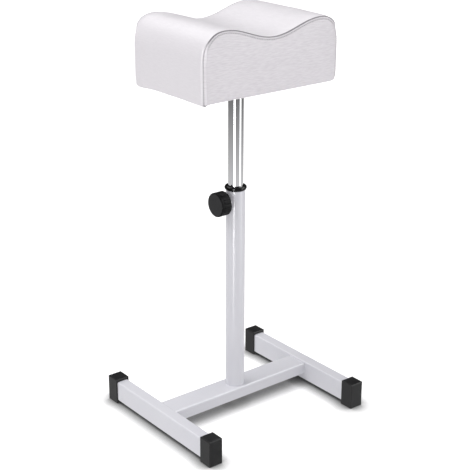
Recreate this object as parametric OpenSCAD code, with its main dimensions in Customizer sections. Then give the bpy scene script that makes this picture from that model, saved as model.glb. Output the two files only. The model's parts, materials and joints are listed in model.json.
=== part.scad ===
// Pedicure footrest with an H-shaped tube base, a clamped sliding post and a saddle cushion.
// X runs along the crossbar, Y along the floor legs, Z up. The origin is on the floor under the post.

/* [Base frame] */
// Distance between the centre lines of the two floor legs
leg_spacing = 364; // [320:2:440]
// Length of each leg tube, front to back
leg_length = 339; // [260:1:420]
// Width of the leg tube
leg_tube_width = 25; // [20:1:34]
// Height of the leg tube
leg_tube_height = 42; // [38:1:56]
// Wall of the leg and crossbar tubes
frame_wall = 1.5; // [1:0.1:2.5]
// Outer corner radius of the leg and crossbar tubes
frame_corner = 3; // [2.6:0.1:4]
// Depth of the crossbar tube, front to back
crossbar_depth = 50; // [44:1:70]
// Height of the crossbar tube
crossbar_height = 25; // [20:1:30]
// Step from the top of a leg down to the top of the crossbar
crossbar_drop = 3.1; // [3:0.1:4]

/* [Foot caps] */
// Length of a foot cap along its leg
cap_length = 30; // [20:1:44]
// Side wall of a foot cap
cap_side_wall = 2.6; // [1.5:0.1:3.5]
// End wall of a foot cap, behind the end of the tube
cap_end_wall = 3; // [1.6:0.1:4]
// Sole of a foot cap, between the tube and the floor
cap_sole = 6.3; // [4:0.1:10]
// Roof of a foot cap, over the tube
cap_roof = 5.4; // [3:0.1:7]
// Rounding of the outer edges of a foot cap
cap_rounding = 1.2; // [0.6:0.1:1.5]
// Gap between a foot cap and the sides and top of its tube
cap_fit = 0.1; // [0.05:0.01:0.2]

/* [Column] */
// Outer diameter of the column tube
column_diameter = 38; // [37:0.5:42]
// Wall of the column tube
column_wall = 1.5; // [1.2:0.1:1.8]
// Length of the column tube
column_length = 420; // [360:1:520]
// Thickness of the threaded plug in the foot of the column
foot_plug_height = 12; // [8:1:20]
// Diameter of the bolt that holds the column to the crossbar
base_bolt_diameter = 10; // [8:1:12]
// Height of the head of the base bolt
base_bolt_head_height = 6.4; // [5:0.1:7]
// Width of the hexagon of the base bolt, over its flats
base_bolt_flats = 17; // [15:1:19]
// Thickness of the washer under the base bolt
base_washer_thickness = 2; // [1:0.1:2.5]
// Outer diameter of the washer under the base bolt
base_washer_diameter = 24; // [22:1:28]
// Outer diameter of the spacer sleeve inside the crossbar
spacer_diameter = 18; // [16:1:22]

/* [Collar bush] */
// Outer diameter of the collar on top of the column
collar_diameter = 43.5; // [43:0.5:50]
// Height of the collar
collar_height = 9; // [6:0.1:10]
// Length of the guide sleeve that hangs inside the column
sleeve_length = 45; // [36:1:70]
// Hole in the guide sleeve for the pressure pad
sleeve_hole_diameter = 11; // [10.6:0.1:14]

/* [Clamp] */
// Distance of the clamp screw below the top of the column
clamp_below_top = 22.5; // [22:0.5:26]
// Diameter of the boss welded to the column
boss_diameter = 20; // [16:1:26]
// How far the boss stands out of the column
boss_length = 6.5; // [5:0.5:14]
// Diameter of the clamp screw
clamp_screw_diameter = 10; // [8:1:10]
// Diameter of the nose of the clamp screw, which turns in the pressure pad
screw_nose_diameter = 6; // [4:0.5:6]
// Length of the nose of the clamp screw
screw_nose_length = 3; // [2:0.1:3.5]
// Length of the pressure pad
pad_length = 5; // [4.2:0.1:8]
// Gap between the pressure pad and the post
pad_gap = 0.3; // [0.1:0.05:0.6]
// Diameter of the knob
knob_diameter = 48; // [40:1:49]
// Depth of the knob
knob_depth = 23; // [20:0.5:32]
// Gap between the knob and the boss when the clamp is tight
knob_gap = 1.5; // [1:0.1:4]
// Number of grip flutes around the knob
knob_flute_count = 14; // [8:1:18]
// Depth of a grip flute
knob_flute_depth = 0.9; // [0.5:0.1:1.5]
// Radius of the cutter that makes a grip flute
knob_flute_radius = 4.5; // [3:0.1:8]
// Depth of the smooth rim in front of the grip flutes
knob_rim = 5; // [4:0.1:7]
// Width and depth of the groove behind the rim
knob_groove = 0.9; // [0.5:0.1:1.5]
// Rounding of the front and back edges of the knob
knob_rounding = 2; // [1:0.1:3]
// How deep the clamp screw sits in the knob
knob_screw_depth = 16; // [10:0.5:17]
// Width of the knob's rim around its cover disc
knob_lip = 2; // [1.5:0.1:4]
// Thickness of the cover disc in the front of the knob
disc_thickness = 2.2; // [1.5:0.1:3]
// How far the cover disc stands out of the knob, with a rounded edge
disc_crown = 0.8; // [0.3:0.1:1.2]

/* [Sliding post] */
// Outer diameter of the post
post_diameter = 30; // [28:0.5:31]
// Wall of the post
post_wall = 1.5; // [1.2:0.1:2]
// Length of the post
post_length = 276; // [240:1:330]
// How far the post can still rise in the position drawn
rise_left = 20; // [10:1:60]
// Length of the glide plug below the post
glide_length = 30; // [20:1:50]
// Length of the glide plug's spigot inside the post
spigot_length = 25; // [14:1:40]
// Diameter of the air hole through the glide plug
air_hole_diameter = 8; // [4:0.5:14]
// Distance left between two stops where they would meet
stop_gap = 0.5; // [0.3:0.1:1]

/* [Cushion mount] */
// Outer diameter of the socket that holds the top of the post
socket_diameter = 34; // [33.5:0.5:38]
// Length of the socket
socket_length = 25.7; // [20:0.1:30]
// Diameter of the cross bolt through socket and post
cross_bolt_diameter = 6; // [5:0.5:8]
// Width of the hexagons of the cross bolt and its nut, over the flats
cross_bolt_flats = 10; // [9:0.5:12]
// Height of the head of the cross bolt
cross_bolt_head_height = 4; // [3:0.1:5]
// Height of the nut of the cross bolt
cross_nut_height = 5; // [4:0.1:6]
// Side of the square mounting plate
plate_side = 110; // [90:1:140]
// Thickness of the mounting plate
plate_thickness = 3; // [2:0.1:5]
// Corner radius of the mounting plate
plate_corner = 8; // [4:0.5:14]
// Distance between two plate screws along a side of the plate
screw_spacing = 84; // [72:1:88]
// Diameter of a plate screw
plate_screw_diameter = 4.4; // [3.5:0.1:5]
// Length of a plate screw below its head
plate_screw_length = 13; // [8:0.5:15]
// Diameter of the head of a plate screw
plate_screw_head_diameter = 9; // [7:0.5:11]
// Height of the head of a plate screw
plate_screw_head_height = 2.8; // [2:0.1:4]

/* [Cushion] */
// Width of the cushion, side to side
cushion_width = 316; // [296:1:360]
// Depth of the cushion, seam to seam
cushion_depth = 214; // [190:1:260]
// Height of the cushion, underside to the two humps
cushion_height = 128; // [110:1:150]
// Depth of the saddle between the two humps
saddle_depth = 23.5; // [12:0.5:32]
// Distance between the crests of the two humps
hump_spacing = 220; // [200:1:230]
// Height of the rounded shoulder outside a hump
shoulder_height = 53; // [36:1:60]
// Fullness of the shoulder: 1 is an ellipse, less is squarer
shoulder_fullness_share = 0.87; // [0.75:0.01:1]
// How far the seamed edges are drawn in
seam_draw = 2.5; // [1:0.1:3.5]
// Distance over which the cover runs down to a seam
seam_run = 9; // [6:0.5:14]
// How far the sides are drawn in at the underside
hem_draw = 1; // [0.5:0.1:2]
// How far top and sides swell between the seams
crown_rise = 0.8; // [0.2:0.1:3]
// How far the end panels swell out
end_swell = 4; // [1:0.5:8]
// Thickness of the cover
cover_thickness = 1.5; // [1:0.1:2.5]
// Gap between the cover and what it covers
cover_gap = 0.3; // [0.2:0.05:0.6]
// Width of the hem turned under the board
hem_width = 25; // [20:1:34]
// Thickness of the board
board_thickness = 12; // [12:0.5:18]
// Radius of the board's corners
board_corner = 12; // [8:0.5:16]
// Thickness of the dust cloth under the board
cloth_thickness = 0.6; // [0.4:0.1:1]
// Distance from the cushion's edge to the dust cloth
cloth_inset = 12; // [10:0.5:14]
// Width of a staple
staple_width = 10; // [8:0.5:13]
// Wire thickness of a staple
staple_wire = 0.8; // [0.6:0.1:1.2]
// Length of a staple's legs
staple_leg = 8; // [5:0.5:10]
// Number of staples along each end of the cushion
end_staple_count = 6; // [3:1:8]
// Number of staples along each side of the cushion
side_staple_count = 4; // [2:1:5]

/* [Hidden] */
$fn = 72;
// Overrun of a cut past the faces that it opens
cut_over = 1;
// Clearance around a shank in a hole drilled for it
hole_clearance = 0.5;
// Radial clearance of a running fit
running_fit = 0.08;
// Radial clearance of a thread and of a part pressed into its seat
thread_fit = 0.05;
// How far the base bolt and the cross bolt stand past what they screw into
bolt_overhang = 3;
// Steps along the saddle, along a shoulder and along a side of the cushion's outline
saddle_steps = 16;
shoulder_steps = 7;
side_steps = 2;
// Places of the rings along the cushion, as shares of half its depth
ring_shares = [0, 0.3, 0.65];
// Sizes of the rings that close an end of the cushion, as shares of its outline
end_ring_shares = [0.94, 0.7, 0.36];
// Height of the middle of an end of the cushion, as a share of its height
end_centre_share = 0.45;
// Chamfer where the cover folds under the board, as a share of the cover's thickness
hem_chamfer_share = 0.6;

// Heights over the floor, from the soles up to the cushion
cap_width = leg_tube_width + 2 * (cap_fit + cap_side_wall);
cap_height = cap_sole + leg_tube_height + cap_fit + cap_roof;
leg_middle = cap_sole + leg_tube_height / 2;
crossbar_top = cap_sole + leg_tube_height - crossbar_drop;
crossbar_bottom = crossbar_top - crossbar_height;
column_top = crossbar_top + column_length;
collar_top = column_top + collar_height;
sleeve_bottom = column_top - sleeve_length;
clamp_level = column_top - clamp_below_top;
glide_top = sleeve_bottom - stop_gap - rise_left;
post_top = glide_top + post_length;
socket_bottom = post_top - socket_length;
plate_top = post_top + plate_thickness;
board_bottom = plate_top + cloth_thickness;
board_top = board_bottom + board_thickness;
cushion_bottom = board_bottom - cover_thickness;
hump_top = cushion_bottom + cushion_height;

// Radii
column_radius = column_diameter / 2;
column_bore = column_radius - column_wall;
post_radius = post_diameter / 2;
post_bore = post_radius - post_wall;
base_bolt_radius = base_bolt_diameter / 2;
clamp_screw_radius = clamp_screw_diameter / 2;
clamp_hole_radius = clamp_screw_radius + thread_fit;
cross_bolt_radius = cross_bolt_diameter / 2;
cross_hole_radius = cross_bolt_radius + hole_clearance;
plate_screw_radius = plate_screw_diameter / 2;
knob_radius = knob_diameter / 2;
disc_radius = knob_radius - knob_lip;

// Distances out from the column's axis along the clamp screw
pad_front = post_radius + pad_gap;
pad_back = pad_front + pad_length;
knob_back = column_radius + boss_length + knob_gap;
knob_front = knob_back + knob_depth;

// Cushion plan
half_width = cushion_width / 2;
half_depth = cushion_depth / 2;
hump_offset = hump_spacing / 2;
board_half_width = half_width - seam_draw - hem_draw - cover_thickness - cover_gap;
board_half_depth = half_depth - cover_thickness - cover_gap;
hem_inner_x = half_width - seam_draw - hem_width;
hem_inner_y = half_depth - hem_width;
staple_x = half_width - (cloth_inset + hem_width) / 2;
staple_y = half_depth - (cloth_inset + hem_width) / 2;
hem_chamfer = hem_chamfer_share * cover_thickness;

// Shapes that repeat

// A rectangle about the origin with round corners
module round_rect(width, height, radius) {
    square([width - 2 * radius, height], center = true);
    square([width, height - 2 * radius], center = true);
    for (x = [-1, 1], y = [-1, 1])
        translate([x * (width / 2 - radius), y * (height / 2 - radius)])
            circle(r = radius);
}

// The section of a rectangular frame tube
module frame_section(width, height) {
    difference() {
        round_rect(width, height, frame_corner);
        round_rect(width - 2 * frame_wall, height - 2 * frame_wall, frame_corner - frame_wall);
    }
}

// A round tube that stands on z = 0
module round_tube(outer, inner, height) {
    linear_extrude(height)
        difference() {
            circle(r = outer);
            circle(r = inner);
        }
}

// A disc that stands on z = 0, with both edges rounded
module round_disc(radius, height, rounding) {
    rotate_extrude() {
        square([radius - rounding, height]);
        translate([0, rounding])
            square([radius, height - 2 * rounding]);
        for (z = [rounding, height - rounding])
            translate([radius - rounding, z])
                circle(r = rounding);
    }
}

// A hexagon prism that stands on z = 0, measured over its flats
module hexagon(flats, height) {
    cylinder(r = flats / 2 / cos(30), h = height, $fn = 6);
}

// Turns a child that stands on z = 0 so that it points out of the column along the clamp screw
module along_clamp(distance) {
    translate([-distance, 0, clamp_level])
        rotate([0, -90, 0])
            children();
}

// Places a child at each plate screw
module at_plate_screws() {
    for (x = [-1, 1], y = [-1, 1])
        translate([x * screw_spacing / 2, y * screw_spacing / 2, 0])
            children();
}

// Base frame

module leg_tube(side) {
    color("gainsboro")
        translate([side * leg_spacing / 2, 0, leg_middle])
            rotate([90, 0, 0])
                linear_extrude(leg_length, center = true)
                    frame_section(leg_tube_width, leg_tube_height);
}

module crossbar_tube() {
    color("gainsboro")
        difference() {
            translate([0, 0, crossbar_top - crossbar_height / 2])
                rotate([90, 0, 90])
                    linear_extrude(leg_spacing - leg_tube_width, center = true)
                        frame_section(crossbar_depth, crossbar_height);
            translate([0, 0, crossbar_bottom - cut_over])
                cylinder(r = base_bolt_radius + hole_clearance, h = crossbar_height + 2 * cut_over);
        }
}

module foot_cap(side, end) {
    outer_end = leg_length / 2 + cap_end_wall;
    color("dimgray")
        translate([side * leg_spacing / 2, end * (outer_end - cap_length / 2), 0])
            difference() {
                translate([0, 0, cap_height / 2])
                    intersection() {
                        rotate([90, 0, 0])
                            linear_extrude(cap_length, center = true)
                                round_rect(cap_width, cap_height, cap_rounding);
                        rotate([90, 0, 90])
                            linear_extrude(cap_width, center = true)
                                round_rect(cap_length, cap_height, cap_rounding);
                        linear_extrude(cap_height, center = true)
                            round_rect(cap_width, cap_length, cap_rounding);
                    }
                translate([0, -end * (cap_end_wall + cut_over) / 2, cap_sole + (leg_tube_height + cap_fit) / 2])
                    rotate([90, 0, 0])
                        linear_extrude(cap_length - cap_end_wall + cut_over, center = true)
                            round_rect(
                                leg_tube_width + 2 * cap_fit,
                                leg_tube_height + cap_fit,
                                frame_corner
                            );
            }
}

module crossbar_spacer() {
    color("silver")
        translate([0, 0, crossbar_bottom + frame_wall])
            round_tube(
                spacer_diameter / 2,
                base_bolt_radius + hole_clearance,
                crossbar_height - 2 * frame_wall
            );
}

module base_washer() {
    color("silver")
        translate([0, 0, crossbar_bottom - base_washer_thickness])
            round_tube(
                base_washer_diameter / 2,
                base_bolt_radius + hole_clearance,
                base_washer_thickness
            );
}

module base_bolt() {
    head_top = crossbar_bottom - base_washer_thickness;
    shank_top = crossbar_top + foot_plug_height + bolt_overhang;
    color("dimgray") {
        translate([0, 0, head_top - base_bolt_head_height])
            hexagon(base_bolt_flats, base_bolt_head_height);
        translate([0, 0, head_top])
            cylinder(r = base_bolt_radius, h = shank_top - head_top);
    }
}

// Column

module column_tube() {
    color("gainsboro")
        difference() {
            translate([0, 0, crossbar_top])
                round_tube(column_radius, column_bore, column_length);
            along_clamp(0)
                cylinder(r = clamp_hole_radius, h = column_radius + cut_over);
        }
}

module column_foot_plug() {
    color("silver")
        translate([0, 0, crossbar_top])
            round_tube(column_bore - thread_fit, base_bolt_radius + thread_fit, foot_plug_height);
}

module collar_bush() {
    rounding = collar_height / 2;
    color("dimgray")
        difference() {
            translate([0, 0, column_top])
                rotate_extrude() {
                    square([collar_diameter / 2 - rounding, collar_height]);
                    translate([collar_diameter / 2 - rounding, rounding])
                        circle(r = rounding);
                    translate([0, -sleeve_length])
                        square([column_bore - running_fit, sleeve_length + collar_height / 2]);
                }
            translate([0, 0, sleeve_bottom - cut_over])
                cylinder(
                    r = post_radius + running_fit,
                    h = sleeve_length + collar_height + 2 * cut_over
                );
            along_clamp(0)
                cylinder(r = sleeve_hole_diameter / 2, h = column_radius + cut_over);
        }
}

module clamp_boss() {
    color("gainsboro")
        difference() {
            along_clamp(0)
                cylinder(r = boss_diameter / 2, h = column_radius + boss_length);
            translate([0, 0, crossbar_top])
                cylinder(r = column_radius, h = column_length);
            along_clamp(0)
                cylinder(r = clamp_hole_radius, h = column_radius + boss_length + cut_over);
        }
}

// Clamp

module pressure_pad() {
    nose_hole = screw_nose_length + stop_gap;
    color("peru")
        difference() {
            along_clamp(pad_front)
                cylinder(r = clamp_screw_radius - running_fit, h = pad_length);
            along_clamp(pad_back - nose_hole)
                cylinder(r = screw_nose_diameter / 2 + running_fit, h = nose_hole + cut_over);
        }
}

module clamp_screw() {
    color("silver") {
        along_clamp(pad_back - screw_nose_length)
            cylinder(r = screw_nose_diameter / 2, h = screw_nose_length);
        along_clamp(pad_back)
            cylinder(r = clamp_screw_radius, h = knob_back + knob_screw_depth - pad_back);
    }
}

module knob_head() {
    groove_front = knob_front - knob_rim;
    flute_centre = knob_radius - knob_flute_depth + knob_flute_radius;
    color("dimgray")
        difference() {
            along_clamp(knob_back)
                round_disc(knob_radius, knob_depth, knob_rounding);
            along_clamp(groove_front - knob_groove)
                round_tube(knob_radius + cut_over, knob_radius - knob_groove, knob_groove);
            for (turn = [0 : knob_flute_count - 1])
                along_clamp(knob_back - cut_over)
                    rotate(turn * 360 / knob_flute_count)
                        translate([flute_centre, 0, 0])
                            cylinder(
                                r = knob_flute_radius,
                                h = groove_front - knob_groove / 2 - knob_back + cut_over
                            );
            along_clamp(knob_front - disc_thickness)
                cylinder(r = disc_radius, h = disc_thickness + cut_over);
            along_clamp(knob_back - cut_over)
                cylinder(r = clamp_hole_radius, h = knob_screw_depth + cut_over);
        }
}

module knob_cover_disc() {
    color("gray")
        along_clamp(knob_front - disc_thickness)
            rotate_extrude() {
                square([disc_radius - thread_fit, disc_thickness]);
                square([disc_radius - thread_fit - disc_crown, disc_thickness + disc_crown]);
                translate([disc_radius - thread_fit - disc_crown, disc_thickness])
                    circle(r = disc_crown);
            }
}

// Sliding post

module glide_plug() {
    color("whitesmoke")
        translate([0, 0, glide_top - glide_length])
            difference() {
                union() {
                    cylinder(r = column_bore - running_fit, h = glide_length);
                    cylinder(r = post_bore - running_fit, h = glide_length + spigot_length);
                }
                translate([0, 0, -cut_over])
                    cylinder(
                        r = air_hole_diameter / 2,
                        h = glide_length + spigot_length + 2 * cut_over
                    );
            }
}

module cross_hole() {
    translate([0, 0, socket_bottom + socket_length / 2])
        rotate([0, 90, 0])
            cylinder(r = cross_hole_radius, h = socket_diameter + 2 * cut_over, center = true);
}

module post_tube() {
    color("silver")
        difference() {
            translate([0, 0, glide_top])
                round_tube(post_radius, post_bore, post_length);
            cross_hole();
        }
}

module post_socket() {
    color("gainsboro")
        difference() {
            translate([0, 0, socket_bottom])
                round_tube(socket_diameter / 2, post_radius + thread_fit, socket_length);
            cross_hole();
        }
}

module cross_bolt() {
    shank = socket_diameter + cross_nut_height + bolt_overhang;
    color("silver")
        translate([socket_diameter / 2, 0, socket_bottom + socket_length / 2]) {
            rotate([0, 90, 0])
                hexagon(cross_bolt_flats, cross_bolt_head_height);
            rotate([0, -90, 0])
                cylinder(r = cross_bolt_radius, h = shank);
        }
}

module cross_nut() {
    color("silver")
        translate([-socket_diameter / 2, 0, socket_bottom + socket_length / 2])
            rotate([0, -90, 0])
                difference() {
                    hexagon(cross_bolt_flats, cross_nut_height);
                    translate([0, 0, -cut_over])
                        cylinder(r = cross_bolt_radius + thread_fit, h = cross_nut_height + 2 * cut_over);
                }
}

module mounting_plate() {
    color("dimgray")
        translate([0, 0, post_top])
            difference() {
                linear_extrude(plate_thickness)
                    round_rect(plate_side, plate_side, plate_corner);
                at_plate_screws()
                    translate([0, 0, -cut_over])
                        cylinder(
                            r = plate_screw_radius + hole_clearance,
                            h = plate_thickness + 2 * cut_over
                        );
            }
}

module plate_screws() {
    color("silver")
        translate([0, 0, post_top])
            at_plate_screws() {
                cylinder(r = plate_screw_radius, h = plate_screw_length);
                translate([0, 0, -plate_screw_head_height])
                    cylinder(r = plate_screw_head_diameter / 2, h = plate_screw_head_height);
            }
}

// Cushion

module seat_board() {
    pilot_depth = plate_screw_length - plate_thickness - cloth_thickness + stop_gap;
    color("burlywood")
        difference() {
            translate([0, 0, board_bottom])
                linear_extrude(height = board_thickness)
                    round_rect(2 * board_half_width, 2 * board_half_depth, board_corner);
            translate([0, 0, board_bottom - cut_over])
                at_plate_screws()
                    cylinder(r = plate_screw_radius + thread_fit, h = pilot_depth + cut_over);
        }
}

// Height of the top line over the lowest point of the saddle, at a distance from the middle
function saddle_rise(x) = saddle_depth * (1 - cos(180 * x / hump_offset)) / 2;

// One half of the cushion's outline, from its lower edge over the shoulder to the hump's crest.
// The outline lies inside the full one by inset, and ends at the height low.
function outline_half(inset, low) =
    let (
        side = half_width - inset,
        crest = hump_top - inset,
        spring = crest - shoulder_height,
        reach = side - hump_offset
    )
    concat(
        [for (i = [side_steps : -1 : 1])
            [side - hem_draw * pow(i / side_steps, 2), spring - (spring - low) * i / side_steps]],
        [for (i = [0 : shoulder_steps])
            let (turn = 90 * i / shoulder_steps)
            [
                hump_offset + reach * pow(max(cos(turn), 0), shoulder_fullness_share),
                spring + shoulder_height * pow(sin(turn), shoulder_fullness_share)
            ]]
    );

// The whole outline, from the lower left edge to the lower right edge
function outline(inset, low) =
    let (half = outline_half(inset, low))
    concat(
        [for (p = half) [-p[0], p[1]]],
        [for (i = [1 : saddle_steps - 1])
            let (x = hump_offset * (2 * i / saddle_steps - 1))
            [x, hump_top - inset - saddle_depth + saddle_rise(x)]],
        [for (i = [len(half) - 1 : -1 : 0]) half[i]]
    );

// How far the cover lies inside the full outline at a distance from a seam
function seam_inset(distance) =
    let (left = max(1 - distance / seam_run, 0), along = 1 - distance / half_depth)
    seam_draw * pow(left, 2) - crown_rise * (1 - pow(along, 2));

// Distances from the front seam of the rings along the cushion
function ring_distances() =
    let (near = [0, seam_run / 5, seam_run / 2, seam_run])
    concat(
        near,
        [for (i = [len(ring_shares) - 1 : -1 : 0]) half_depth - ring_shares[i] * (half_depth - seam_run)],
        [for (i = [1 : len(ring_shares) - 1]) half_depth + ring_shares[i] * (half_depth - seam_run)],
        [for (i = [len(near) - 1 : -1 : 0]) 2 * half_depth - near[i]]
    );

// An outline as points in the upright plane at y
function upright(points, y) = [for (p = points) [p[0], y, p[1]]];

// An outline drawn in towards the middle of the end by a share
function shrunk(points, share, centre) = [for (p = points) [p[0] * share, centre + (p[1] - centre) * share]];

// The two triangles of each field between two neighbouring rows of points.
// The rows start at first and at second, and closed rows join their last point to their first.
function strip(first, second, count, closed) =
    [for (i = [0 : count - (closed ? 1 : 2)])
        let (next = (i + 1) % count)
        each [
            [first + i, second + i, second + next],
            [first + i, second + next, first + next]
        ]];

// A closed skin over equal closed rows of points, with each end drawn together at a middle point
module skinned(rows, start, finish) {
    count = len(rows[0]);
    last = len(rows) - 1;
    polyhedron(
        points = concat([for (row = rows) each row], [start, finish]),
        faces = concat(
            [for (j = [0 : last - 1]) each strip(j * count, (j + 1) * count, count, true)],
            [for (i = [0 : count - 1]) [len(rows) * count, i, (i + 1) % count]],
            [for (i = [0 : count - 1])
                [len(rows) * count + 1, last * count + (i + 1) % count, last * count + i]]
        )
    );
}

// The rows that close an end of the cushion, from the smallest to the full outline
function end_rows(points, edge, swell) =
    let (
        low = min([for (p = points) p[1]]),
        high = max([for (p = points) p[1]]),
        centre = low + end_centre_share * (high - low)
    )
    concat(
        [for (i = [len(end_ring_shares) - 1 : -1 : 0])
            let (share = end_ring_shares[i])
            upright(shrunk(points, share, centre), edge + swell * (1 - pow(share, 2)))],
        [upright(points, edge)]
    );

function end_middle(points, edge, swell) =
    let (low = min([for (p = points) p[1]]), high = max([for (p = points) p[1]]))
    [0, edge + swell, low + end_centre_share * (high - low)];

module foam_core() {
    inset = cover_thickness + cover_gap;
    swell = end_swell;
    distances = ring_distances();
    near = half_depth - inset;
    ends = outline(inset + seam_inset(0), board_top);
    front = end_rows(ends, -near, -swell);
    back = end_rows(ends, near, swell);
    rows = concat(
        front,
        [for (i = [1 : len(distances) - 2])
            upright(
                outline(inset + seam_inset(min(distances[i], 2 * half_depth - distances[i])), board_top),
                -near + distances[i] * near / half_depth
            )],
        [for (i = [len(back) - 1 : -1 : 0]) back[i]]
    );
    color("lightyellow")
        skinned(rows, end_middle(ends, -near, -swell), end_middle(ends, near, swell));
}

// The outline of the wrap panel with the edges of its hems, at a depth under its outer face
function wrap_line(inset, depth) =
    let (
        line = outline(inset + depth, cushion_bottom + max(depth, hem_chamfer)),
        fold = -line[0][0] - hem_chamfer,
        level = cushion_bottom + depth
    )
    concat([[-hem_inner_x, level], [-fold, level]], line, [[fold, level], [hem_inner_x, level]]);

module cover_wrap_panel() {
    distances = ring_distances();
    near = half_depth - cover_thickness;
    function row(i, depth) =
        upright(
            wrap_line(seam_inset(min(distances[i], 2 * half_depth - distances[i])), depth),
            -near + distances[i] * near / half_depth
        );
    rows = [for (i = [0 : len(distances) - 1])
        concat(row(i, 0), [for (p = [len(row(i, 0)) - 1 : -1 : 0]) row(i, cover_thickness)[p]])];
    count = len(rows[0]);
    half = count / 2;
    last = (len(rows) - 1) * count;
    color("white")
        polyhedron(
            points = [for (r = rows) each r],
            faces = concat(
                [for (j = [0 : len(rows) - 2]) each strip(j * count, (j + 1) * count, count, true)],
                [for (i = [0 : half - 2])
                    each [
                        [i, i + 1, count - 2 - i],
                        [i, count - 2 - i, count - 1 - i],
                        [last + i, last + count - 2 - i, last + i + 1],
                        [last + i, last + count - 1 - i, last + count - 2 - i]
                    ]]
            )
        );
}

module cover_end(end) {
    line = outline(seam_inset(0), cushion_bottom);
    edge = half_depth;
    inner = half_depth - cover_thickness;
    outside = end_rows(line, -edge, -end_swell);
    inside = end_rows(line, -inner, -end_swell);
    hem_x = hem_inner_x - cover_thickness;
    color("white")
        mirror([0, end > 0 ? 1 : 0, 0]) {
            skinned(
                concat(outside, [for (i = [len(inside) - 1 : -1 : 0]) inside[i]]),
                end_middle(line, -edge, -end_swell),
                end_middle(line, -inner, -end_swell)
            );
            translate([-hem_x, -edge + cover_thickness / 2, cushion_bottom])
                cube([2 * hem_x, hem_width - cover_thickness / 2, cover_thickness]);
        }
}

module dust_cloth() {
    outer_x = half_width - cloth_inset;
    outer_y = half_depth - cloth_inset;
    inner_x = hem_inner_x - cover_gap;
    inner_y = hem_inner_y - cover_gap;
    color("dimgray")
        difference() {
            union() {
                translate([-outer_x, -outer_y, cushion_bottom - cloth_thickness])
                    cube([2 * outer_x, 2 * outer_y, cloth_thickness]);
                translate([-inner_x, -inner_y, cushion_bottom - cloth_thickness])
                    cube([2 * inner_x, 2 * inner_y, cover_thickness + cloth_thickness]);
            }
            translate([
                -inner_x + cloth_thickness,
                -inner_y + cloth_thickness,
                cushion_bottom - cloth_thickness - cut_over
            ])
                cube([
                    2 * (inner_x - cloth_thickness),
                    2 * (inner_y - cloth_thickness),
                    cover_thickness + cut_over
                ]);
            translate([0, 0, post_top])
                at_plate_screws()
                    cylinder(
                        r = plate_screw_radius + hole_clearance,
                        h = plate_thickness + cloth_thickness + cut_over
                    );
        }
}

// A staple that lies along X under the dust cloth, with its legs driven up into the board
module staple() {
    translate([-staple_width / 2, -staple_wire / 2, -staple_wire]) {
        cube([staple_width, staple_wire, staple_wire]);
        for (x = [0, staple_width - staple_wire])
            translate([x, 0, 0])
                cube([staple_wire, staple_wire, staple_leg + staple_wire]);
    }
}

module cloth_staples() {
    end_pitch = 2 * staple_x / end_staple_count;
    side_pitch = 2 * staple_y / side_staple_count;
    color("silver")
        translate([0, 0, cushion_bottom - cloth_thickness]) {
            for (y = [-1, 1], i = [0 : end_staple_count - 1])
                translate([(i - (end_staple_count - 1) / 2) * end_pitch, y * staple_y, 0])
                    staple();
            for (x = [-1, 1], i = [0 : side_staple_count - 1])
                translate([x * staple_x, (i - (side_staple_count - 1) / 2) * side_pitch, 0])
                    rotate(90)
                        staple();
        }
}

leg_tube(-1);  // leg_tube_left
leg_tube(1);  // leg_tube_right
foot_cap(-1, -1);  // foot_cap_front_left
foot_cap(-1, 1);  // foot_cap_back_left
foot_cap(1, -1);  // foot_cap_front_right
foot_cap(1, 1);  // foot_cap_back_right
crossbar_tube();
crossbar_spacer();
base_bolt();
base_washer();
column_tube();
column_foot_plug();
collar_bush();
clamp_boss();
pressure_pad();
clamp_screw();
knob_head();
knob_cover_disc();
glide_plug();
post_tube();
post_socket();
cross_bolt();
cross_nut();
mounting_plate();
plate_screws();
seat_board();
foam_core();
cover_wrap_panel();
cover_end(-1);  // cover_end_front
cover_end(1);  // cover_end_back
dust_cloth();
cloth_staples();
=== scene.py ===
# %% [markdown]
# # A pedicure footrest with a saddle cushion
# The footrest stands on an H of painted steel tube. A chromed post slides in a painted column and
# carries a white cushion with a saddle for the ankle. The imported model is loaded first. It holds
# every rigid piece at its real size, so this lesson gives those pieces their finish, and models
# what is sewn, stuffed and folded.

# %% Load the fixed frame
import json
import math

import bmesh
import bpy
from mathutils import Matrix, Vector, noise

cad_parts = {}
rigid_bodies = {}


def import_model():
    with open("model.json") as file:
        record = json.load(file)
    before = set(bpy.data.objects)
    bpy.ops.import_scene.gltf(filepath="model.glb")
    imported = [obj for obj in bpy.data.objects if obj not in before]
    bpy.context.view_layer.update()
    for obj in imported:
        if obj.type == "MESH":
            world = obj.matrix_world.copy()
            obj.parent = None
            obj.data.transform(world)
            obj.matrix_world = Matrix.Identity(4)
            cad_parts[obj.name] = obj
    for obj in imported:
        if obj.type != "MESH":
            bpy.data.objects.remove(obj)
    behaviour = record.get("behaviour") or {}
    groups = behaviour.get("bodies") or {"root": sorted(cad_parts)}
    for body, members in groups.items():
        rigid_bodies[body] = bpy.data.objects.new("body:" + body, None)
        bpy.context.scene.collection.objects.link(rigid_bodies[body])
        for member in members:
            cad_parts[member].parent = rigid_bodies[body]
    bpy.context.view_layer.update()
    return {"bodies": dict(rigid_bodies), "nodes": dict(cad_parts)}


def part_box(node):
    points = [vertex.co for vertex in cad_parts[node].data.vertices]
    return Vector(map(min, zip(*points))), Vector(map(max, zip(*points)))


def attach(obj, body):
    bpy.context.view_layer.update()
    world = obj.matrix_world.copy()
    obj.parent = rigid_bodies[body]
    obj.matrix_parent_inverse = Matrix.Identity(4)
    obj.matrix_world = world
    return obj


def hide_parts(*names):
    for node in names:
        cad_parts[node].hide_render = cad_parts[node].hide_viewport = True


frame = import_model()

MM = 0.001
bodies, nodes = frame["bodies"], frame["nodes"]
print("bodies:", ", ".join(sorted(bodies)))

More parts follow.
